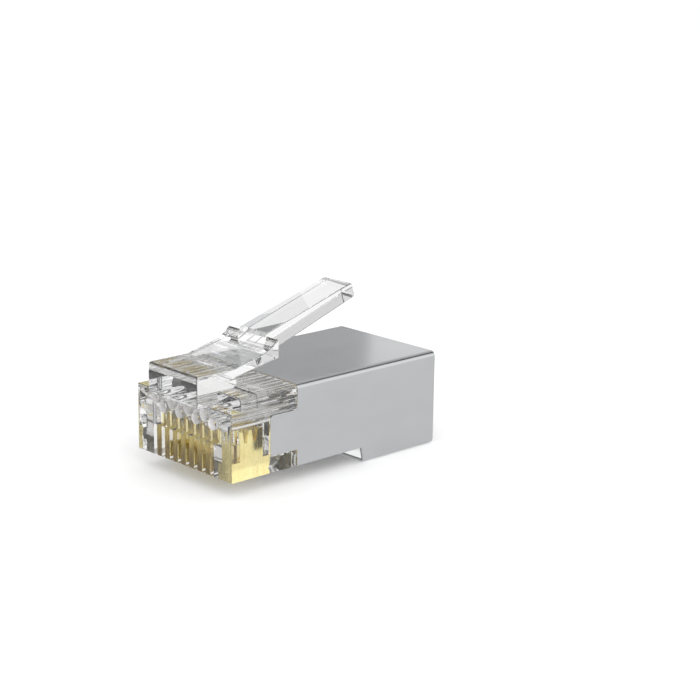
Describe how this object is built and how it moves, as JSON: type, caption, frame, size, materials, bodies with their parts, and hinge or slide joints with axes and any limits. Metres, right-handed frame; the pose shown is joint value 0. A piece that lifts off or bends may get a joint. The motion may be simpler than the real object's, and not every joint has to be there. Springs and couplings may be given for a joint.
{
  "type": "rj45 modular plug",
  "caption": "Shielded modular plug: clear moulded housing with a sprung latch, gold contact blades, pass-through wire holes and a folded metal shield.",
  "frame": {"origin": "middle of the plug's footprint, on the surface that its rear panel stands on", "axes": "+Y from the mating face towards the cable, +Z from the contact side towards the latch, +X across the contacts"},
  "size_m": [0.0118, 0.023, 0.0139],
  "materials": {
    "clear_plastic": "clear",
    "gold_blade": "gold plated",
    "nickel_sheet": "satin nickel"
  },
  "bodies": {
    "plug_body": {"housing": "clear_plastic", "shield": "nickel_sheet", "contact_1": "gold_blade", "contact_2": "gold_blade", "contact_3": "gold_blade", "contact_4": "gold_blade", "contact_5": "gold_blade", "contact_6": "gold_blade", "contact_7": "gold_blade", "contact_8": "gold_blade"},
    "latch_arm": {"latch": "clear_plastic"}
  },
  "joints": [
    {"name": "latch_flex", "type": "hinge", "parent": "plug_body", "child": "latch_arm", "pos_m": [0, -0.00801, 0.00894], "axis": [-1, 0, 0], "range_deg": [0, 15], "stiffness_Nm_per_rad": 0.1}
  ]
}
